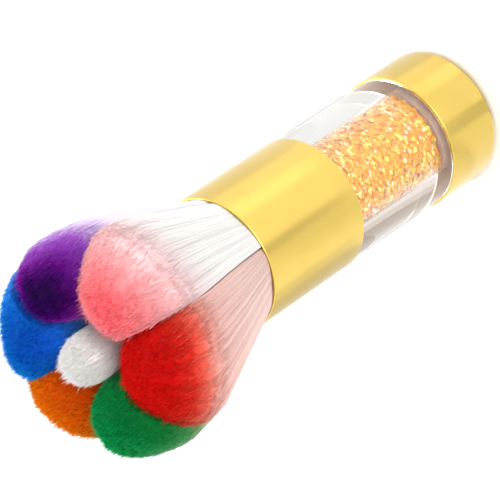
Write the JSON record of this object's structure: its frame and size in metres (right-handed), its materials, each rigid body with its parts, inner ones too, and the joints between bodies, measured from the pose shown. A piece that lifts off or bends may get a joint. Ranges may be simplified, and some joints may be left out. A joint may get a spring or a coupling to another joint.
{
  "type": "acrylic nail brush",
  "caption": "Round nail dust brush with a clear glitter-filled handle, gold sleeves and a flower of coloured bristle tufts.",
  "frame": {"origin": "centre of the flat end face of the cap, on the surface it stands on", "axes": "+Z along the handle's axis to the bristle tips, +X through the middle of the purple tuft"},
  "size_m": [0.0396, 0.0397, 0.096],
  "materials": {
    "gold_sleeve": "gold anodised, bright",
    "clear_acrylic": "polished clear acrylic",
    "glitter": "loose gold and orange glitter flakes",
    "stopper": "plain moulded",
    "glue": "cured adhesive",
    "epoxy": "cast, cured",
    "thread": "wound cotton thread",
    "purple_fibre": "nylon filaments, violet tips",
    "blue_fibre": "nylon filaments, blue tips",
    "orange_fibre": "nylon filaments, orange tips",
    "green_fibre": "nylon filaments, green tips",
    "red_fibre": "nylon filaments, red tips",
    "pink_fibre": "nylon filaments, pink tips",
    "white_fibre": "nylon filaments, undyed"
  },
  "bodies": {
    "root": {"end_cap": "gold_sleeve", "cap_glue_ring": "glue", "rear_stopper": "stopper", "handle_tube": "clear_acrylic", "glitter_fill": "glitter", "front_stopper": "stopper", "ferrule_glue_ring": "glue", "ferrule": "gold_sleeve", "epoxy_plug": "epoxy", "purple_tuft": "purple_fibre", "purple_tie": "thread", "blue_tuft": "blue_fibre", "blue_tie": "thread", "orange_tuft": "orange_fibre", "orange_tie": "thread", "green_tuft": "green_fibre", "green_tie": "thread", "red_tuft": "red_fibre", "red_tie": "thread", "pink_tuft": "pink_fibre", "pink_tie": "thread", "white_tuft": "white_fibre", "white_tie": "thread"}
  },
  "joints": []
}
